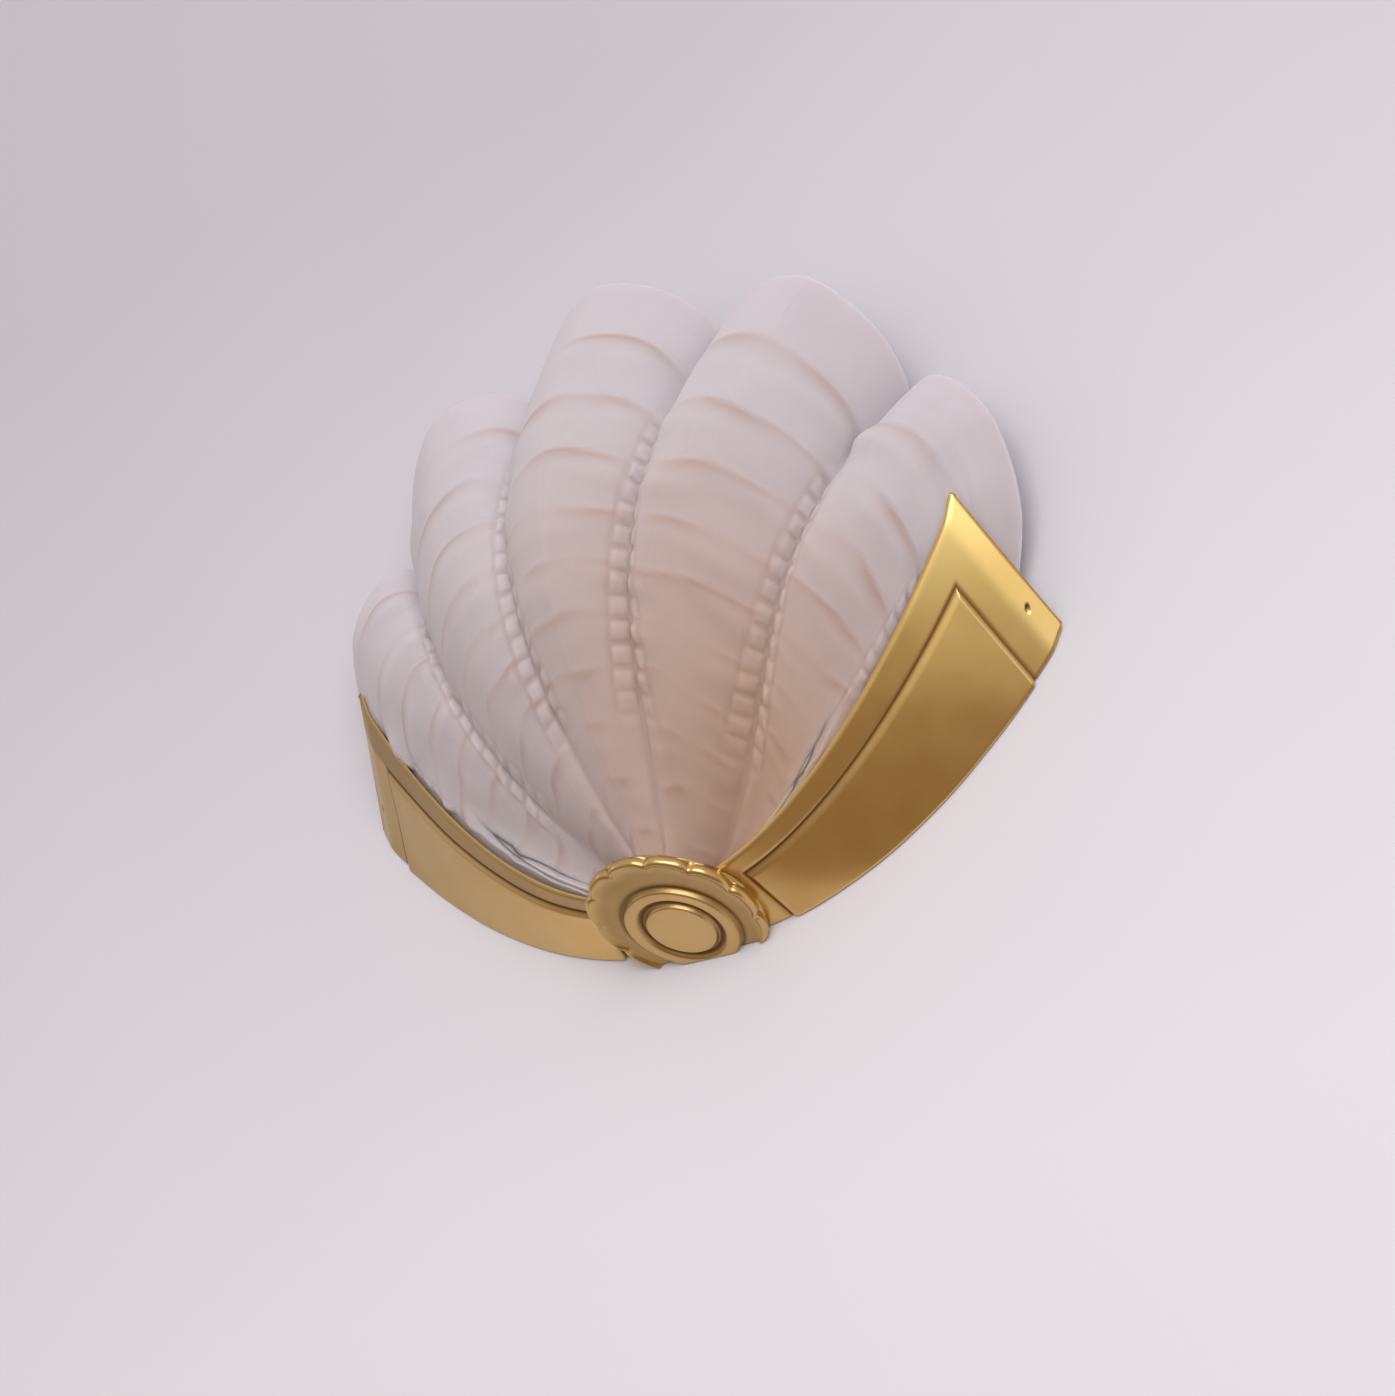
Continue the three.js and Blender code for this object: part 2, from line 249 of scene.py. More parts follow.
def band_face(u, v):
    """x, y and z of the band's outer face: u runs from the left end to the right end, v from the wall out."""
    a = np.abs(u)
    x = u * (WALL_HALF_WIDTH + (FRONT_HALF_WIDTH - WALL_HALF_WIDTH) * v)
    y = -v * (FRONT_DEPTH + FRONT_DEPTH_GAIN * u * u)
    wall_z = WALL_RISE * a**WALL_POWER
    front_z = FRONT_BASE + FRONT_RISE * u * u
    return x, y, wall_z + (front_z - wall_z) * v - BAND_THICKNESS / 2


def band_point(u, v, inset):
    """The same face moved by inset towards the glass, parallel to the wall."""
    step = 0.001
    x, y, z = band_face(u, v)
    x0, _, z0 = band_face(u - step, v)
    x1, _, z1 = band_face(u + step, v)
    length = np.hypot(x1 - x0, z1 - z0)
    return np.stack([x - (z1 - z0) / length * inset, y, z + (x1 - x0) / length * inset], -1)


def ease(x):
    """A soft step from 0 to 1."""
    x = np.clip(x, 0, 1)
    return x * x * (3 - 2 * x)


def spread(start, end, rough, spots):
    """Numbers from start to end, rough apart, and closer near each spot (place, reach, spacing)."""
    out = [start]
    while out[-1] < end:
        step = rough
        for place, reach, spacing in spots:
            far = abs(out[-1] - place)
            if far < reach * 3:
                step = min(step, spacing + (rough - spacing) * max(0, far - reach) / (reach * 2))
        out.append(out[-1] + step)
    out[-1] = end
    return np.array(out)


def band_relief(u, v, width, along):
    """How far each point of the outer face lies under the panel's top, and how dark it is painted there: the
    grooves and pin hole darker, and painted shade on the left arm's border.
    """
    a = np.abs(u)
    reach = np.interp(a, along[0], along[1])
    to_end = np.interp(PANEL_END, along[0], along[1]) - reach
    to_start = reach - np.interp(PANEL_START, along[0], along[1])
    to_edge = (PANEL_EDGE - v) * width
    inside = np.minimum(np.minimum(to_end, to_start), to_edge)
    share = ease(inside / PANEL_SHOULDER * 0.5 + 0.5)
    crown = PANEL_CROWN * (1 - (2 * v / PANEL_EDGE - 1) ** 2) * ease(np.minimum(to_end, to_start) / 0.02)
    # The groove and the pin hole also feed the dark mask, which makes them darker.
    groove = np.exp(-((inside / PANEL_SHOULDER + 0.75) ** 2) * 3.5)
    inset = PANEL_RISE * (1 - share) - crown * share + GROOVE_DEPTH * groove
    from_pin = np.hypot(reach - np.interp(PIN_ALONG, along[0], along[1]), (v - PIN_ACROSS) * width)
    pin = 1 - ease((from_pin - PIN_RADIUS * 0.75) / (PIN_RADIUS * 0.35))
    # Painted shade: the border strip of the left arm is darkened.
    shaded_border = LEFT_BORDER_SHADE * ease((v - PANEL_EDGE) / 0.05) * ease(-u / 0.2)
    return inset + PIN_DEPTH * pin, np.clip(groove + pin + shaded_border, 0, 1)


def dents(points, depth):
    """Soft unevenness left by hand polishing."""
    return np.array([noise.noise(Vector(p) / DENT_SIZE) * depth for p in points])


def band_mesh():
    """Loops round the band's section, each with how dark it is painted, from end to end of the crescent."""
    ends = np.linspace(0, 1, 400)
    x, y, z = band_face(ends, np.full_like(ends, 0.4))
    lengths = np.concatenate([[0], np.cumsum(np.sqrt(np.diff(x) ** 2 + np.diff(y) ** 2 + np.diff(z) ** 2))])
    along = (ends, lengths)
    fine_spots = [
        (PANEL_START, 0.008, 0.0018),
        (PANEL_END, 0.008, 0.0018),
        (PIN_ALONG, 0.008, 0.0014),
        (1, 0.03, 0.004),
    ]
    half = spread(0, 1, 0.011, fine_spots)
    rounding = 1 - (1 - np.cos(np.linspace(0, math.pi / 2, 7))) * END_ROUNDING / TIP_STRETCH
    half = np.concatenate([half[half < 1 - END_ROUNDING / 0.2], rounding[::-1]])
    columns = np.concatenate([-half[:0:-1], half])
    face = spread(0, 1, 0.03, [(PANEL_EDGE, 0.03, 0.007), (PIN_ACROSS, 0.035, 0.008)])
    face = face[(face > 0.02) & (face < 0.965)]
    arc = np.linspace(0, math.pi / 2, 6)
    rows = []
    for v in face:
        rows.append((v, 0, 0, 1))
    for angle in arc:
        rows.append((1, -(1 - math.sin(angle)), 1 - math.cos(angle), 1))
    for angle in arc:
        rows.append((1, -(1 - math.cos(angle)), -(1 - math.sin(angle)), 0))
    for v in (0.9, 0.7, 0.5, 0.3, 0.1):
        rows.append((v, 0, 0, 0))
    for angle in arc[::2]:
        rows.append((0, 1 - math.sin(angle), -(1 - math.cos(angle)), 0))
    for angle in arc[::2]:
        rows.append((0, 1 - math.cos(angle), 1 - math.sin(angle), 1))
    wall_x, wall_y, wall_z = band_face(columns, np.zeros_like(columns))
    front_x, front_y, front_z = band_face(columns, np.ones_like(columns))
    width = np.sqrt((wall_x - front_x) ** 2 + (wall_y - front_y) ** 2 + (wall_z - front_z) ** 2)
    to_end = (1 - np.abs(columns)) * ARM_LENGTH
    fall = END_FALL * ease(1 - to_end / END_FALL_LENGTH) ** 1.3
    near_end = np.clip(to_end / END_ROUNDING, 0, 1)
    rounded = END_ROUNDING * (1 - np.sqrt(1 - (1 - near_end) ** 2))
    grid, painted_dark = [], []
    for base, shift, sink, outer in rows:
        radius = EDGE_ROUNDING if base > 0.99 else EDGE_ROUNDING * 0.5
        v = base + (shift * radius) / width
        if outer:
            relief, dark = band_relief(columns, v, width, along)
            inset = relief + sink * radius + rounded + fall
        else:
            dark = np.zeros_like(columns)
            inset = BAND_THICKNESS + sink * radius - rounded * 0.9 + fall
        squeeze = 0.5 + (v - 0.5) * (1 - 1.6 * rounded / width)
        row = band_point(columns, squeeze, inset)
        if outer:
            row = band_point(columns, squeeze, inset + dents(row, DENT_DEPTH) * ease(near_end))
        row[:, 1] = np.minimum(row[:, 1], 0)
        grid.append(row)
        painted_dark.append(dark)
    return np.array(grid), np.array(painted_dark)


def closed_loop_mesh(name, grid):
    """A tube of quads from loops of points, closed at both ends, with the faces outwards."""
    rows, columns = grid.shape[:2]
    at = lambda i, j: (i % rows) * columns + j
    faces = [
        (at(i, j), at(i, j + 1), at(i + 1, j + 1), at(i + 1, j))
        for i in range(rows)
        for j in range(columns - 1)
    ]
    faces.append([at(i, 0) for i in range(rows)])
    faces.append([at(i, columns - 1) for i in range(rows)][::-1])
    mesh = bpy.data.meshes.new(name)
    mesh.from_pydata(grid.reshape(-1, 3).tolist(), [], faces)
    tidy = bmesh.new()
    tidy.from_mesh(mesh)
    bmesh.ops.recalc_face_normals(tidy, faces=tidy.faces)
    tidy.to_mesh(mesh)
    tidy.free()
    mesh.shade_smooth()
    return mesh


def brass_wear_and_shade_group():
    """Uneven polish on brass: rubs and clouds of tone, fine scratches, painted shade towards the left end, and a
    dark brown mixed in where the mask marks painted shade, grooves and the pin hole.
    """
    group = bpy.data.node_groups.new("polished casting with painted shade", "ShaderNodeTree")
    face = group.interface
    for name in ("Bright", "Deep", "Dark Colour"):
        face.new_socket(name, in_out="INPUT", socket_type="NodeSocketColor")
    for name in ("Painted Dark", "Scale"):
        face.new_socket(name, in_out="INPUT", socket_type="NodeSocketFloat")
    for name, kind in (("Color", "Color"), ("Roughness", "Float"), ("Height", "Float")):
        face.new_socket(name, in_out="OUTPUT", socket_type=f"NodeSocket{kind}")
    given = group.nodes.new("NodeGroupInput").outputs
    place = add_node(group, "ShaderNodeTexCoord").outputs["Object"]
    sized = add_node(group, "ShaderNodeVectorMath", {0: place}, operation="SCALE")
    group.links.new(given["Scale"], sized.inputs["Scale"])
    clouds = add_node(group, "ShaderNodeTexNoise", {"Vector": sized.outputs[0], "Scale": 14.0, "Detail": 1.5})
    rubs = add_node(group, "ShaderNodeTexNoise", {"Vector": sized.outputs[0], "Scale": 70.0, "Detail": 2.0})
    stretch = add_node(group, "ShaderNodeMapping", {"Vector": sized.outputs[0], "Scale": (1.0, 9.0, 1.0)})
    hairlines = add_node(
        group, "ShaderNodeTexNoise", {"Vector": stretch.outputs[0], "Scale": 420.0, "Detail": 1.0}
    )
    share = add_node(
        group,
        "ShaderNodeMapRange",
        {"Value": clouds.outputs["Fac"], "From Min": 0.32, "From Max": 0.68},
    )
    metal = add_node(
        group,
        "ShaderNodeMix",
        {"Factor": share.outputs[0], "A": given["Deep"], "B": given["Bright"]},
        data_type="RGBA",
    )
    # Painted shade: the brass colour is scaled darker towards the band's left end.
    leftward = add_node(group, "ShaderNodeVectorMath", {0: place, 1: (-1, 0, 0)}, operation="DOT_PRODUCT")
    low, high = LEFT_SHADE_REACH
    left_shading = add_node(
        group,
        "ShaderNodeMapRange",
        {"Value": leftward.outputs["Value"], "From Min": low, "From Max": high, "To Min": 1.0, "To Max": LEFT_SHADE_LEVEL},
    )
    left_shaded = add_node(group, "ShaderNodeVectorMath", {0: metal.outputs["Result"]}, operation="SCALE")
    group.links.new(left_shading.outputs[0], left_shaded.inputs["Scale"])
    darkened = add_node(
        group,
        "ShaderNodeMix",
        {"Factor": given["Painted Dark"], "A": left_shaded.outputs[0], "B": given["Dark Colour"]},
        data_type="RGBA",
    )
    least, most = BRASS_ROUGHNESS
    rough = add_node(
        group,
        "ShaderNodeMapRange",
        {"Value": rubs.outputs["Fac"], "From Min": 0.3, "From Max": 0.7, "To Min": least, "To Max": most},
    )
    worn = add_node(
        group,
        "ShaderNodeMath",
        {0: given["Painted Dark"], 1: PAINTED_DARK_ROUGHNESS, 2: rough.outputs[0]},
        operation="MULTIPLY_ADD",
    )
    height = add_node(
        group,
        "ShaderNodeMath",
        {0: rubs.outputs["Fac"], 1: 0.1, 2: hairlines.outputs["Fac"]},
        operation="MULTIPLY_ADD",
    )
    result = group.nodes.new("NodeGroupOutput").inputs
    group.links.new(darkened.outputs["Result"], result["Color"])
    group.links.new(worn.outputs[0], result["Roughness"])
    group.links.new(height.outputs[0], result["Height"])
    return group


brass_wear_and_shade = brass_wear_and_shade_group()


def brass_material(name, bright, deep, scale):
    material, tree, output = new_material(name)
    painted_dark = add_node(tree, "ShaderNodeAttribute", attribute_name="painted_dark").outputs["Fac"]
    wear_and_shade = add_node(tree, "ShaderNodeGroup", node_tree=brass_wear_and_shade)
    wear_and_shade.inputs["Bright"].default_value = bright
    wear_and_shade.inputs["Deep"].default_value = deep
    wear_and_shade.inputs["Dark Colour"].default_value = PAINTED_DARK_COLOUR
    wear_and_shade.inputs["Scale"].default_value = scale
    tree.links.new(painted_dark, wear_and_shade.inputs["Painted Dark"])
    bump = add_node(
        tree,
        "ShaderNodeBump",
        {"Height": wear_and_shade.outputs["Height"], "Strength": BRASS_BUMP, "Distance": 0.0001},
    )
    metal = add_node(
        tree,
        "ShaderNodeBsdfPrincipled",
        {
            "Base Color": wear_and_shade.outputs["Color"],
            "Metallic": 1.0,
            "Roughness": wear_and_shade.outputs["Roughness"],
            "Normal": bump.outputs["Normal"],
            "Coat Weight": 0.15,
            "Coat Roughness": 0.12,
        },
    )
    tree.links.new(metal.outputs[0], output.inputs["Surface"])
    return material


def finish_piece(name, mesh, material, node):
    """The object for a mesh, fixed to the whole, with the solid it stands for hidden."""
    mesh.materials.clear()
    mesh.materials.append(material)
    piece = bpy.data.objects.new(name, mesh)
    scene.collection.objects.link(piece)
    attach(piece, "root")
    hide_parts(node)


def store(mesh, name, values):
    """A number for every point of a mesh, kept under a name."""
    kept = mesh.attributes.new(name, "FLOAT", "POINT")
    kept.data.foreach_set("value", np.asarray(values, np.float32).ravel())


band_grid, band_painted_dark = band_mesh()
band = closed_loop_mesh("crescent_band", band_grid)
store(band, "painted_dark", band_painted_dark)
band_brass = brass_material("polished band brass", (0.80, 0.55, 0.21, 1), (0.74, 0.48, 0.16, 1), 1.0)
finish_piece("crescent_band", band, band_brass, "crescent_frame")


# ---- Rosette: cast in one with the band at its middle. A scalloped disc, a rounded ring and a flat round
# centre step up from the band, tilted down with it, and the wall cuts the disc off level.
ROSETTE_TILT = math.radians(64)
ROSETTE_DEPTH = 0.0185
ROSETTE_RADIUS = 0.034
SCALLOPS = 12
SCALLOP_DEPTH = 0.002
DISC_BACK = -0.0028
DISC_FRONT = 0.0014
DISC_FLOOR = 0.0004
RING_RADIUS = 0.0225
RING_FRONT = 0.0024
RING_GROOVE = 0.0156
GROOVE_FLOOR = 0.0011
CENTRE_RADIUS = 0.014
CENTRE_FRONT = 0.0027
SADDLE_RADIUS = 0.033
SADDLE_DEEPEST = -0.02
SADDLE_SINK = 0.0003
ROSETTE_DROP = 0.004
ROSETTE_DENTS = 0.0004
CENTRE_ROUNDING = 0.0012
RING_SHOULDER = 0.0016
RING_ROUNDING = 0.0014
DISC_RISE_FROM = 0.0275
DISC_RISE_OVER = 0.004
FIRST_LOOP = 0.0006
LAST_LOOP = 0.0318
SCALLOPS_FROM = 0.002
SCALLOP_ROLL = 0.0016


def rosette_place():
    """The rosette's own frame: its middle on the band, its front turned down and out of the wall."""
    up = Vector((0, -math.sin(ROSETTE_TILT), math.cos(ROSETTE_TILT)))
    axis = Vector((0, -math.cos(ROSETTE_TILT), -math.sin(ROSETTE_TILT)))
    seat = Vector(band_point(np.array(0.0), np.array(ROSETTE_DEPTH / FRONT_DEPTH), 0).tolist())
    return Matrix.Translation(seat) @ Matrix((up.cross(axis), up, axis)).transposed().to_4x4()


def painted_shade_ring(r, radius, width):
    """How much painted shade lies at r, in a ring of its own radius that fades away on both sides."""
    return np.exp(-(((r - radius) / width) ** 2))


def rosette_height(r):
    """Height of the front over the band, with a rounded edge on each step, and how much painted shade it takes.
    """
    centre = 1 - ease((r - CENTRE_RADIUS + CENTRE_ROUNDING) / CENTRE_ROUNDING)
    ring_in = ease((r - RING_GROOVE) / RING_SHOULDER)
    ring_out = 1 - ease((r - RING_RADIUS + RING_ROUNDING) / RING_ROUNDING)
    ring = np.minimum(ring_in, ring_out)
    outer = DISC_FLOOR + (DISC_FRONT - DISC_FLOOR) * ease((r - DISC_RISE_FROM) / DISC_RISE_OVER)
    height = GROOVE_FLOOR + (CENTRE_FRONT - GROOVE_FLOOR) * centre
    past_centre = r > (CENTRE_RADIUS + RING_GROOVE) / 2
    height = np.where(past_centre, GROOVE_FLOOR + (RING_FRONT - GROOVE_FLOOR) * ring, height)
    past_ring = r > (RING_GROOVE + RING_RADIUS) / 2
    height = np.where(past_ring, np.maximum(outer, RING_FRONT * ring + outer * (1 - ring)), height)
    # Painted shade in the groove round the centre, at the ring's outer foot and on the disc outside the ring.
    painted_dark = painted_shade_ring(r, 0.0151, 0.0013) + 0.7 * painted_shade_ring(r - RING_RADIUS, 0.0004, 0.0012)
    painted_dark += 0.3 * painted_shade_ring(r, 0.0262, 0.0025)
    return height, np.clip(painted_dark, 0, 1)


def behind_band(point):
    """How far a point lies behind the middle of the band's thickness, on the glass side."""
    v = -point.y / FRONT_DEPTH
    face = band_point(np.array(point.x / WALL_HALF_WIDTH), np.array(v), 0)
    return point.z - face[2] - BAND_THICKNESS / 2


def rosette_mesh():
    """Loops from the middle out over the scalloped rim and back to the band, cut off along the wall."""
    place = rosette_place()
    turns = np.linspace(0, 2 * math.pi, SCALLOPS * 20, endpoint=False)
    dip = (1 - np.abs(np.cos(turns * SCALLOPS / 2))) ** 2
    rim = ROSETTE_RADIUS - SCALLOP_DEPTH * dip
    fine_spots = [(CENTRE_RADIUS, 0.0016, 0.00025), (RING_RADIUS, 0.0012, 0.00025)]
    radii = spread(FIRST_LOOP, LAST_LOOP, 0.0011, fine_spots)
    loops, loop_darkness = [], []
    for r in radii:
        reach = np.full_like(turns, r)
        height, painted_dark = rosette_height(reach)
        if r > RING_RADIUS + SCALLOPS_FROM:
            share = (r - RING_RADIUS - SCALLOPS_FROM) / (radii[-1] - RING_RADIUS - SCALLOPS_FROM)
            reach = (1 - share) * r + share * (rim - SCALLOP_ROLL)
        loops.append((reach, height))
        loop_darkness.append(painted_dark)
    for angle in np.linspace(0.25, math.pi / 2, 6):
        height = np.full_like(turns, DISC_FRONT - SCALLOP_ROLL * (1 - math.cos(angle)))
        loops.append((rim - SCALLOP_ROLL * (1 - math.sin(angle)), height))
    for depth, tuck in ((-0.0012, 0.0), (-0.0022, 0.0002), (DISC_BACK, 0.0009)):
        loops.append((rim - tuck, np.full_like(turns, depth)))
    loops.append((np.full_like(turns, SADDLE_RADIUS), np.full_like(turns, DISC_BACK)))
    points = []
    for reach, height in loops:
        drop = ROSETTE_DROP * (1 - ease((reach - RING_RADIUS) / (ROSETTE_RADIUS - 0.001 - RING_RADIUS)))
        spots = zip(reach * np.sin(turns), reach * np.cos(turns) - drop, height)
        points.append([place @ Vector(spot) for spot in spots])
    foot = []
    for turn in turns:
        x, y = SADDLE_RADIUS * math.sin(turn), SADDLE_RADIUS * math.cos(turn)
        low, high = SADDLE_DEEPEST, DISC_BACK
        for _ in range(24):
            middle = (low + high) / 2
            low, high = (middle, high) if behind_band(place @ Vector((x, y, middle))) > 0 else (low, middle)
        foot.append(place @ Vector((x, y, min(low, DISC_BACK - SADDLE_SINK))))
    points.append(foot)
    while len(loop_darkness) < len(points):
        loop_darkness.append(np.zeros_like(turns))
    grid = np.array([[tuple(p) for p in ring] for ring in points])
    axis = np.array(place.to_3x3() @ Vector((0, 0, 1)))
    flat = grid[: len(radii)].reshape(-1, 3)
    grid[: len(radii)] += (dents(flat, ROSETTE_DENTS)[:, None] * axis).reshape(grid[: len(radii)].shape)
    count, around = grid.shape[:2]
    at = lambda i, j: i * around + j % around
    faces = [
        (at(i, j), at(i, j + 1), at(i + 1, j + 1), at(i + 1, j))
        for i in range(count - 1)
        for j in range(around)
    ]
    faces.append(list(range(around)))
    faces.append([(count - 1) * around + j for j in range(around)][::-1])
    mesh = bpy.data.meshes.new("rosette")
    mesh.from_pydata(grid.reshape(-1, 3).tolist(), [], faces)
    store(mesh, "painted_dark", np.array(loop_darkness))
    work = bmesh.new()
    work.from_mesh(mesh)
    everything = list(work.verts) + list(work.edges) + list(work.faces)
    wall = {"plane_co": (0, 0, 0), "plane_no": (0, 1, 0)}
    cut = bmesh.ops.bisect_plane(work, geom=everything, clear_outer=True, **wall)
    edges = [e for e in cut["geom_cut"] if isinstance(e, bmesh.types.BMEdge)]
    bmesh.ops.contextual_create(work, geom=edges)
    bmesh.ops.recalc_face_normals(work, faces=work.faces)
    work.to_mesh(mesh)
    work.free()
    mesh.shade_smooth()
    return mesh


# Painted shade: the rosette is cast in one with the band, yet its brass tones are darker than the band's.
rosette_shaded_brass = brass_material("rosette brass painted darker", (0.68, 0.46, 0.18, 1), (0.58, 0.38, 0.14, 1), 1.6)
finish_piece("rosette", rosette_mesh(), rosette_shaded_brass, "crescent_frame")


# ---- Glass shell: one thick pressing of frosted glass, open at the back and along the top. Five flutes fan
# out from the rosette, each stepped like stacked cups; small square cells are pressed along the valleys,
# and the outermost edges tuck inside the brass.
LOBES = 5
MERIDIAN_ROWS = 160
LOBE_COLUMNS = 50
FLANGE_COLUMNS = 5
RIM_STEPS = 7
RIM_ROUNDING = 0.0058
SHELL_SIZES = {
    "Lobe Pitch": math.radians(23.2),
    "Fan Spread": 0.49,
    "Hub Height": 0.006,
    "Reach Loss": 0.43,
    "Reach Gain": 0.7,
    "Depth Loss": 1.6,
    "Glass Thickness": 0.005,
    "Swell At Hub": 0.0004,
    "Swell Growth": 0.0205,
    "Rim Flare": 0.015,
    "Valley Share": 0.05,
    "Valley Fillet": 0.45,
    "Lobe Curve": 1.5,
    "Hub Roundness": 0.52,
    "Rim Roundness": 0.56,
    "Flank Spread": 0.14,
    "Tiers": 11.0,
    "Tier Crowding": 0.8,
    "Tier At Hub": 0.0009,
    "Tier Growth": 0.0022,
    "Cell Height": 0.0008,
    "Cell Length": 0.0085,
    "Cell Width": 0.0070,
    "Seat Clearance": 0.0024,
    "Seat End": 0.99,
    "Seat Top": 0.93,
    "Seat Hub Drop": 0.5,
    "Seat End Drop": 0.8,
    "Seat Ease": 0.012,
    "Seat Power": 1.7,
    "Seat Reach": 0.95,
    "Seat Foot": 0.24,
    "End Tuck": 0.3,
}
GLASS_DENSE = (196, 189, 193)
GLASS_PALE = (206, 199, 203)
# Painted reflection of the brass: a warm tint towards the hub and the right.
GLASS_BRASS_REFLECTION = (200, 164, 136)
# Painted shade under each tier's lip and round the cells.
GLASS_LIP_SHADE = (168, 134, 116)
LIP_SHADE_SHARE = 0.55
PROFILE_REACH = (0.009, 0.108, 0.144, 0.219)
PROFILE_DEPTH = (0.026, 0.080, 0.096, 0.0204)
PATCH_ACROSS = 0.06
PATCH_ALONG = 0.012
THIN_BELOW = 0.55
THIN_OVER = 0.25
THIN_SHARE = 0.7
TIER_WAVER = 0.7
TIER_BOW = 0.12
TIER_PROFILE = ((0.22, 0.2), (0.45, 0.68), (0.64, 1.0), (0.82, 0.72))
TIER_STRENGTH = (0.55, 1.25)
TIER_FADING = (0.15, 1.3)
LIP_RISE = (0.55, 0.35)
LIP_FALL = (0.88, 0.1)
LIP_POWER = 1.6
CELLS_FROM = 0.2
CELLS_TO = 0.86
CELLS_SEAT_SHIFT = 0.28


class Reckoning:
    """A number that math nodes work out at every point of the glass."""

    def __init__(self, tree, socket):
        self.tree, self.socket = tree, socket

    def by(self, operation, *others):
        node = self.tree.nodes.new("ShaderNodeMath")
        node.operation = operation
        for slot, value in zip(node.inputs, (self, *others)):
            if isinstance(value, Reckoning):
                self.tree.links.new(value.socket, slot)
            else:
                slot.default_value = value
        return Reckoning(self.tree, node.outputs[0])

    def __add__(self, other):
        return self.by("ADD", other)

    def __radd__(self, other):
        return self.by("ADD", other)

    def __sub__(self, other):
        return self.by("SUBTRACT", other)

    def __rsub__(self, other):
        return self.by("MULTIPLY_ADD", -1.0, other)

    def __mul__(self, other):
        return self.by("MULTIPLY", other)

    def __rmul__(self, other):
        return self.by("MULTIPLY", other)

    def __truediv__(self, other):
        return self.by("DIVIDE", other)

    def __pow__(self, other):
        return self.by("POWER", other)

    def between(self, low, high):
        return self.by("MAXIMUM", low).by("MINIMUM", high)


def cubic(c, t):
    """A smooth curve with four numbers c, at t from 0 to 1."""
    r = 1 - t
    return c[0] * (r * r * r) + 3 * c[1] * (r * r * t) + 3 * c[2] * (r * t * t) + c[3] * (t * t * t)


def cubic_slope(c, t):
    r = 1 - t
    return 3 * (c[1] - c[0]) * (r * r) + 6 * (c[2] - c[1]) * (r * t) + 3 * (c[3] - c[2]) * (t * t)


def shell_sheet():
    """The unshaped glass: a closed sheet whose points know their place across, along and through the glass."""
    t = np.linspace(0, 1, 2001)
    speed = np.hypot(cubic_slope(PROFILE_REACH, t), cubic_slope(PROFILE_DEPTH, t))
    arc = np.concatenate([[0], np.cumsum((speed[1:] + speed[:-1]) / 2 * np.diff(t))])
    rows = np.interp(np.linspace(0, np.interp(1 - RIM_ROUNDING, t, arc), MERIDIAN_ROWS), arc, t)
    x = np.linspace(-1, 1, LOBE_COLUMNS + 1)[:-1]
    in_lobe = 0.62 * np.sin(x * math.pi / 2) + 0.38 * x
    edge = (LOBES - 1) / 2
    columns = np.concatenate([k + in_lobe / 2 for k in np.arange(-edge, edge + 1)])
    flange = LOBES / 2 + np.linspace(0, 0.5, FLANGE_COLUMNS + 1)
    columns = np.concatenate([-flange[:0:-1], columns, flange])
    turn = np.linspace(0, math.pi, RIM_STEPS + 2)[1:-1]
    loop_t = np.concatenate([rows, 1 - RIM_ROUNDING * (1 - np.sin(turn)), rows[::-1]])
    loop_w = np.concatenate([np.zeros_like(rows), (1 - np.cos(turn)) / 2, np.ones_like(rows)])
    count, wide = len(loop_t), len(columns)
    at = lambda i, j: (i % count) * wide + j
    faces = [
        (at(i, j), at(i + 1, j), at(i + 1, j + 1), at(i, j + 1))
        for i in range(count)
        for j in range(wide - 1)
    ]
    for j, flip in ((0, 1), (wide - 1, -1)):
        for i in range(MERIDIAN_ROWS - 1):
            faces.append([at(i, j), at(count - 1 - i, j), at(count - 2 - i, j), at(i + 1, j)][::flip])
        faces.append([at(i, j) for i in range(count - MERIDIAN_ROWS, MERIDIAN_ROWS - 2, -1)][::flip])
    mesh = bpy.data.meshes.new("glass_sheet")
    grid_t, grid_s = np.meshgrid(loop_t, columns, indexing="ij")
    mesh.from_pydata(np.stack([grid_s, grid_t, grid_t * 0], -1).reshape(-1, 3).tolist(), [], faces)
    store(mesh, "across", grid_s)
    store(mesh, "along", grid_t)
    store(mesh, "through", np.repeat(loop_w[:, None], wide, 1))
    store(mesh, "distance", np.interp(grid_t, t, arc))
    return mesh


def rule_group(name, inputs, outputs, rule):
    """A node group that works out a rule from its own inputs and the sizes of the shell."""
    group = bpy.data.node_groups.new(name, "GeometryNodeTree")
    for item in (*inputs, *SHELL_SIZES):
        group.interface.new_socket(item, in_out="INPUT", socket_type="NodeSocketFloat")
    for item in outputs:
        group.interface.new_socket(item, in_out="OUTPUT", socket_type="NodeSocketFloat")
    given = group.nodes.new("NodeGroupInput").outputs
    results = rule({item: Reckoning(group, given[item]) for item in (*inputs, *SHELL_SIZES)})
    end = group.nodes.new("NodeGroupOutput").inputs
    for item, value in zip(outputs, results):
        group.links.new(value.socket, end[item])
    return group


def work_out(group, given, *values):
    """Use a rule group in the tree that the given sizes belong to."""
    tree = given["Lobe Pitch"].tree
    node = tree.nodes.new("GeometryNodeGroup")
    node.node_tree = group
    for slot, value in zip(node.inputs, values):
        if isinstance(value, Reckoning):
            tree.links.new(value.socket, slot)
        else:
            slot.default_value = value
    for name in SHELL_SIZES:
        tree.links.new(given[name].socket, node.inputs[name])
    return [Reckoning(tree, output) for output in node.outputs]


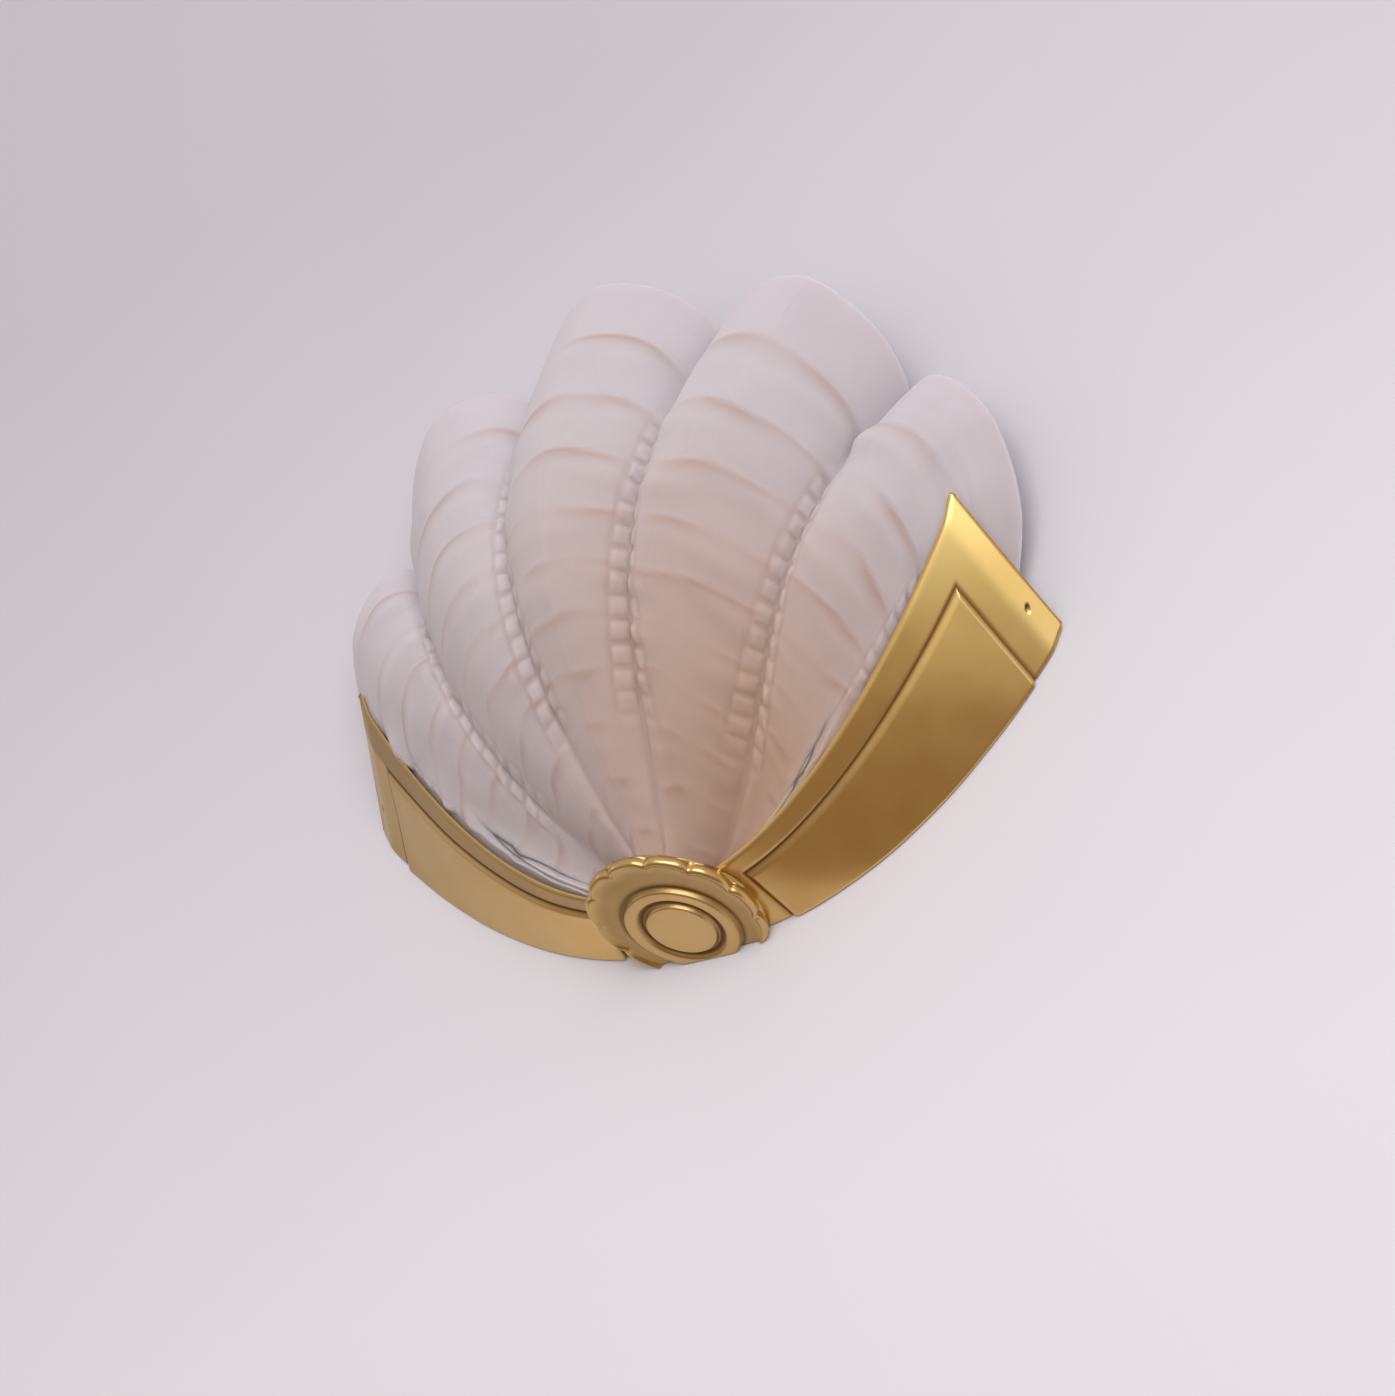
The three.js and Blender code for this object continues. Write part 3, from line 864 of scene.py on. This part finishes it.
def fan_rule(given):
    """x, depth off the wall and z of a point swelled off the surface that the valleys lie on."""
    s, t, swell = given["Across"], given["Along"], given["Swell"]
    rise, away = cubic_slope(PROFILE_REACH, t), cubic_slope(PROFILE_DEPTH, t)
    slope = (rise * rise + away * away).by("SQRT")
    turn = given["Lobe Pitch"] * (1 + given["Fan Spread"] * (1 - t) ** 2) * s
    fall = 1 - turn.by("COSINE")
    narrowing = 1 - given["Reach Loss"] * fall + given["Reach Gain"] * fall * fall
    reach = (cubic(PROFILE_REACH, t) - away / slope * swell) * narrowing
    depth = (cubic(PROFILE_DEPTH, t) + rise / slope * swell) * (1 - given["Depth Loss"] * fall)
    return reach * turn.by("SINE"), depth, given["Hub Height"] + reach * turn.by("COSINE")


fan_point = rule_group("fan point", ("Across", "Along", "Swell"), ("X", "Depth", "Z"), fan_rule)


def seat_rule(given):
    """The glass edge inside the band, or down its flange as Drop falls from 1, and the way out of the band."""
    t = given["Along"]
    u = (work_out(fan_point, given, LOBES / 2, t, 0.0)[0] / WALL_HALF_WIDTH).by("MINIMUM", given["Seat End"])
    top = given["Seat Top"] - given["Seat Hub Drop"] * (1 - t) ** 6 - given["Seat End Drop"] * t**12
    v = top * given["Drop"]
    ease_in = given["Seat Ease"] * (given["Seat Top"] - top)
    into = given["Seat Clearance"] + ease_in + given["Inset"] + BAND_THICKNESS
    wall_z = WALL_RISE * u**WALL_POWER
    z = wall_z + (FRONT_BASE + FRONT_RISE * u * u - wall_z) * v - BAND_THICKNESS / 2
    dx = WALL_HALF_WIDTH + (FRONT_HALF_WIDTH - WALL_HALF_WIDTH) * v
    dz = (1 - v) * (WALL_RISE * WALL_POWER) * u ** (WALL_POWER - 1) + v * (2 * FRONT_RISE) * u
    length = (dx * dx + dz * dz).by("SQRT")
    depth = v * (FRONT_DEPTH + FRONT_DEPTH_GAIN * u * u)
    return u * dx - dz / length * into, depth, z + dx / length * into, dz / length, dx / length * -1


seat_point = rule_group(
    "seat in band", ("Along", "Drop", "Inset"), ("X", "Depth", "Z", "Out X", "Out Z"), seat_rule
)


def lobe_rule(given):
    """Where a point lies across its own flute, -1 to 1, and how far the flute's back swells there."""
    s, t = given["Across"], given["Along"]
    middle = s.by("ROUND").between(-(LOBES - 1) / 2, (LOBES - 1) / 2)
    w = (s - middle) * 2
    x = (w.by("ABSOLUTE") / (1 - given["Valley Share"])).by("MINIMUM", 1.0)
    power = given["Hub Roundness"] + (given["Rim Roundness"] - given["Hub Roundness"]) * t * t
    back = (1 - x ** given["Lobe Curve"]).by("MAXIMUM", 0.0) ** power
    beside_seat = ((s.by("ABSOLUTE") - (LOBES - 1) / 2) * 4).between(0, 1)
    fillet = given["Valley Fillet"] * given["Valley Fillet"] * (1 - beside_seat)
    return w, back * back * back / (back * back + fillet).by("MAXIMUM", 1e-6) * (1 + fillet)


lobe_place = rule_group("place in flute", ("Across", "Along"), ("W", "Back"), lobe_rule)


def surface_rule(given):
    """The plain outer surface, before tiers and cells, on the half where Across isn't negative."""
    s, t = given["Across"], given["Along"]
    w, back = work_out(lobe_place, given, s, t)
    near = ((s - (LOBES / 2 - 1)) / given["Seat Reach"]).between(0, 1)
    swell = given["Swell At Hub"] + given["Swell Growth"] * t + given["Rim Flare"] * t**5
    swell = swell * (1 - given["End Tuck"] * near**3 * t**6) * back
    spread = given["Flank Spread"] * w * (1 - w.by("ABSOLUTE") ** 3) * t * (1 - near**3)
    loose = work_out(fan_point, given, s + spread, t, swell)
    seat = work_out(seat_point, given, t, 1.0, 0.0)
    end = work_out(fan_point, given, LOBES / 2, t, 0.0)
    pull = near ** given["Seat Power"]
    return [p + (q - e) * pull for p, q, e in zip(loose, seat, end)]


fluted_surface = rule_group("fluted surface", ("Across", "Along"), ("X", "Depth", "Z"), surface_rule)


def unit(x, d, z):
    """A direction made one long."""
    length = (x * x + d * d + z * z).by("SQRT")
    return x / length, d / length, z / length


def shell_tree(material):
    """The rule of the fan as a node tree: it moves every point of the sheet to its place on the shell."""
    tree = bpy.data.node_groups.new("pressed shell", "GeometryNodeTree")
    tree.interface.new_socket("Geometry", in_out="INPUT", socket_type="NodeSocketGeometry")
    for name, value in SHELL_SIZES.items():
        tree.interface.new_socket(name, in_out="INPUT", socket_type="NodeSocketFloat").default_value = value
    tree.interface.new_socket("Geometry", in_out="OUTPUT", socket_type="NodeSocketGeometry")
    given = tree.nodes.new("NodeGroupInput").outputs
    size = {name: Reckoning(tree, given[name]) for name in SHELL_SIZES}

    def carried(name):
        node = add_node(tree, "GeometryNodeInputNamedAttribute", {"Name": name}, data_type="FLOAT")
        return Reckoning(tree, node.outputs["Attribute"])

    def waver(by_across, by_along, detail):
        """A slow random change over the glass, with its pace across and along the flutes."""
        place = {0: (across * by_across).socket, 1: (t * by_along).socket}
        place = add_node(tree, "ShaderNodeCombineXYZ", place).outputs[0]
        random = add_node(tree, "ShaderNodeTexNoise", {"Vector": place, "Scale": 1.0, "Detail": detail})
        return Reckoning(tree, random.outputs["Fac"])

    across, t, through, distance = (carried(name) for name in ("across", "along", "through", "distance"))
    far = across.by("ABSOLUTE")
    side = across.by("SIGN")
    s = far.by("MINIMUM", LOBES / 2)
    plain = work_out(fluted_surface, size, s, t)
    right = work_out(fluted_surface, size, (s + PATCH_ACROSS).by("MINIMUM", LOBES / 2), t)
    left = work_out(fluted_surface, size, s - PATCH_ACROSS, t)
    high = work_out(fluted_surface, size, s, (t + PATCH_ALONG).by("MINIMUM", 1.0))
    low = work_out(fluted_surface, size, s, (t - PATCH_ALONG).by("MAXIMUM", 0.0))
    ax, ad, az = (a - b for a, b in zip(right, left))
    bx, bd, bz = (a - b for a, b in zip(high, low))
    normal = unit(az * bd - ad * bz, ax * bz - az * bx, ad * bx - ax * bd)
    out_x, out_z = work_out(seat_point, size, t, 1.0, 0.0)[3:]
    near = ((s - (LOBES / 2 - 1)) / size["Seat Reach"]).between(0, 1)
    seated = near**4
    thickness = size["Glass Thickness"] * (
        1 - near * near * ((THIN_BELOW - t) / THIN_OVER).between(0, 1) * THIN_SHARE
    )
    loose = 1 - seated
    normal = unit(normal[0] * loose + out_x * seated, normal[1] * loose, normal[2] * loose + out_z * seated)
    w, back = work_out(lobe_place, size, across, t)
    middle = across - w * 0.5

    count = (size["Tiers"] + 0.3) * t ** size["Tier Crowding"] - 0.5
    count = count + (waver(1.6, 5, 1.0) - 0.5) * TIER_WAVER + w * w * TIER_BOW
    tier = count.by("FRACT")
    lift = add_node(tree, "ShaderNodeFloatCurve", {"Value": tier.socket})
    points = lift.mapping.curves[0].points
    for place, value in TIER_PROFILE:
        points.new(place, value)
    points[0].location = (0, 0)
    points[-1].location = (1, 0)
    lift.mapping.update()
    fading = ((count + 0.5).between(0, 1)) * (1 - (t - 0.93) / 0.07).between(0.0, 1.0)
    chance = add_node(tree, "FunctionNodeRandomValue", data_type="FLOAT")
    chance.inputs[2].default_value, chance.inputs[3].default_value = TIER_STRENGTH
    number = (count.by("FLOOR") * 7 + middle + 3).by("ROUND")
    tree.links.new(number.socket, chance.inputs["ID"])
    chance.inputs["Seed"].default_value = 4
    strength = Reckoning(tree, next(o for o in chance.outputs if o.enabled and o.type == "VALUE"))
    step = (size["Tier At Hub"] + size["Tier Growth"] * t) * Reckoning(tree, lift.outputs[0]) * strength
    least, most = TIER_FADING
    uneven = add_node(
        tree,
        "ShaderNodeMapRange",
        {"Value": waver(2.6, 9, 0.0).socket, "From Min": 0.3, "From Max": 0.7, "To Min": least, "To Max": most},
        interpolation_type="SMOOTHSTEP",
    )
    reached = (1 - (1 - back) ** 3) * Reckoning(tree, uneven.outputs[0]) * fading
    step = step * reached * (0.5 + w * w * 0.8)
    # Painted shade: a dark mark just under each tier's lip, kept on the glass as an attribute.
    lip_rise = ((tier - LIP_RISE[0]) / LIP_RISE[1]).between(0, 1) ** LIP_POWER
    lip_shade = lip_rise * (1 - ((tier - LIP_FALL[0]) / LIP_FALL[1]).between(0, 1)) * reached

    chain = (w.by("ABSOLUTE") - 1.0) * (size["Lobe Pitch"] * 0.5) * cubic(PROFILE_REACH, t)
    column = (chain.by("ABSOLUTE") / size["Cell Width"]).between(0, 2)
    rung = (distance / size["Cell Length"]).by("FRACT")
    pad_across = 1 - ((column - 0.5).by("ABSOLUTE") * 2.6).between(0, 1) ** 6
    pad_along = 1 - ((rung - 0.5).by("ABSOLUTE") * 2.5).between(0, 1) ** 6
    begun = ((t - CELLS_FROM - seated * CELLS_SEAT_SHIFT) * 12).between(0, 1)
    in_range = begun * ((CELLS_TO - t) * 10).between(0, 1)
    cells = pad_across * pad_along * in_range * size["Cell Height"]
    beside = (1 - ((column - 1) * 8).between(0, 1)) * in_range
    # Painted shade in the gaps round the cells beside each valley.
    lip_shade = lip_shade + (1 - pad_across * pad_along) * beside * 0.3

    lift_out = (step + cells) * (1 - through) - thickness * through
    shaped = [p + n * lift_out for p, n in zip(plain, normal)]
    flange = ((far - LOBES / 2) * 2).between(0, 1)
    foot = work_out(seat_point, size, t, 1 + (size["Seat Foot"] - 1) * flange, thickness * through)
    on_flange = far.by("GREATER_THAN", LOBES / 2)
    final = [a + (b - a) * on_flange for a, b in zip(shaped, foot)]
    place = {0: (final[0] * side).socket, 1: (final[1] * -1).socket, 2: final[2].socket}
    spot = add_node(tree, "ShaderNodeCombineXYZ", place).outputs[0]
    moved = add_node(tree, "GeometryNodeSetPosition", {"Geometry": given["Geometry"], "Position": spot})
    marked = add_node(
        tree,
        "GeometryNodeStoreNamedAttribute",
        {"Geometry": moved.outputs[0], "Name": "lip_shade", "Value": (lip_shade * (1 - through)).socket},
    )
    real = add_node(tree, "GeometryNodeRealizeInstances", {"Geometry": marked.outputs[0]})
    done = add_node(tree, "GeometryNodeSetMaterial", {"Geometry": real.outputs[0], "Material": material})
    tree.links.new(done.outputs[0], tree.nodes.new("NodeGroupOutput").inputs[0])
    return tree


def glass_material():
    """Frosted glass: milky, pinkish white, with a painted warm reflection of the brass towards the hub and the
    right, and painted shade under each lip and round the cells.
    """
    material, tree, output = new_material("frosted pressed glass")
    place = add_node(tree, "ShaderNodeTexCoord").outputs["Object"]
    clouds = add_node(tree, "ShaderNodeTexNoise", {"Vector": place, "Scale": 26.0, "Detail": 3.0})
    frost = add_node(tree, "ShaderNodeTexNoise", {"Vector": place, "Scale": 900.0, "Detail": 2.0})
    along = add_node(tree, "ShaderNodeAttribute", attribute_name="along").outputs["Fac"]
    pale = add_node(
        tree,
        "ShaderNodeMix",
        {"Factor": clouds.outputs["Fac"], "A": tone(*GLASS_DENSE), "B": tone(*GLASS_PALE)},
        data_type="RGBA",
    )
    # Painted reflection: the glass is tinted warm towards the hub and towards the right, where the brass shows in
    # it.
    hubward = add_node(tree, "ShaderNodeMapRange", {"Value": along, "From Min": 0.8, "From Max": 0.15})
    sideways = add_node(tree, "ShaderNodeVectorMath", {0: place, 1: (1, 0, 0)}, operation="DOT_PRODUCT")
    sideways = sideways.outputs["Value"]
    brassward = add_node(
        tree,
        "ShaderNodeMapRange",
        {"Value": sideways, "From Min": -0.03, "From Max": 0.06, "To Min": 0.15, "To Max": 1.0},
    ).outputs[0]
    reflection_share = add_node(tree, "ShaderNodeMath", {0: hubward.outputs[0], 1: brassward}, operation="MULTIPLY")
    tint = add_node(
        tree,
        "ShaderNodeMix",
        {"Factor": reflection_share.outputs[0], "A": pale.outputs["Result"], "B": tone(*GLASS_BRASS_REFLECTION)},
        data_type="RGBA",
    )
    # Painted shade under the lips and round the cells, mixed into the colour.
    lip_shade = add_node(tree, "ShaderNodeAttribute", attribute_name="lip_shade").outputs["Fac"]
    lip_shaded = add_node(tree, "ShaderNodeMath", {0: lip_shade, 1: LIP_SHADE_SHARE}, operation="MULTIPLY", use_clamp=True)
    tint = add_node(
        tree,
        "ShaderNodeMix",
        {"Factor": lip_shaded.outputs[0], "A": tint.outputs["Result"], "B": tone(*GLASS_LIP_SHADE)},
        data_type="RGBA",
    )
    rough = add_node(
        tree,
        "ShaderNodeMapRange",
        {"Value": clouds.outputs["Fac"], "From Min": 0.3, "From Max": 0.7, "To Min": 0.72, "To Max": 0.82},
    )
    bump = add_node(
        tree,
        "ShaderNodeBump",
        {"Height": frost.outputs["Fac"], "Strength": 0.15, "Distance": 0.0002},
    )
    glass = add_node(
        tree,
        "ShaderNodeBsdfPrincipled",
        {
            "Base Color": tint.outputs["Result"],
            "Metallic": 0.0,
            "Transmission Weight": 0.06,
            "Subsurface Weight": 1.0,
            "Subsurface Radius": (1.0, 0.95, 0.95),
            "Subsurface Scale": 0.006,
            "IOR": 1.45,
            "Roughness": rough.outputs[0],
            "Normal": bump.outputs["Normal"],
        },
    )
    tree.links.new(glass.outputs[0], output.inputs["Surface"])
    return material


def press_shell():
    """The sheet shaped by the rule of the fan, as one plain mesh with its glass."""
    glass = glass_material()
    sheet = bpy.data.objects.new("glass_sheet", shell_sheet())
    scene.collection.objects.link(sheet)
    press = sheet.modifiers.new("press", "NODES")
    press.node_group = shell_tree(glass)
    for item in press.node_group.interface.items_tree:
        if item.item_type == "SOCKET" and item.in_out == "INPUT" and item.name in SHELL_SIZES:
            press[item.identifier] = SHELL_SIZES[item.name]
    shaped = sheet.evaluated_get(bpy.context.evaluated_depsgraph_get())
    mesh = bpy.data.meshes.new_from_object(shaped)
    sheet.modifiers.remove(press)
    bpy.data.objects.remove(sheet)
    mesh.name = "glass_shell_pressed"
    mesh.shade_smooth()
    return mesh, glass


shell_mesh, frosted_glass = press_shell()
finish_piece("glass_shell_pressed", shell_mesh, frosted_glass, "glass_shell")
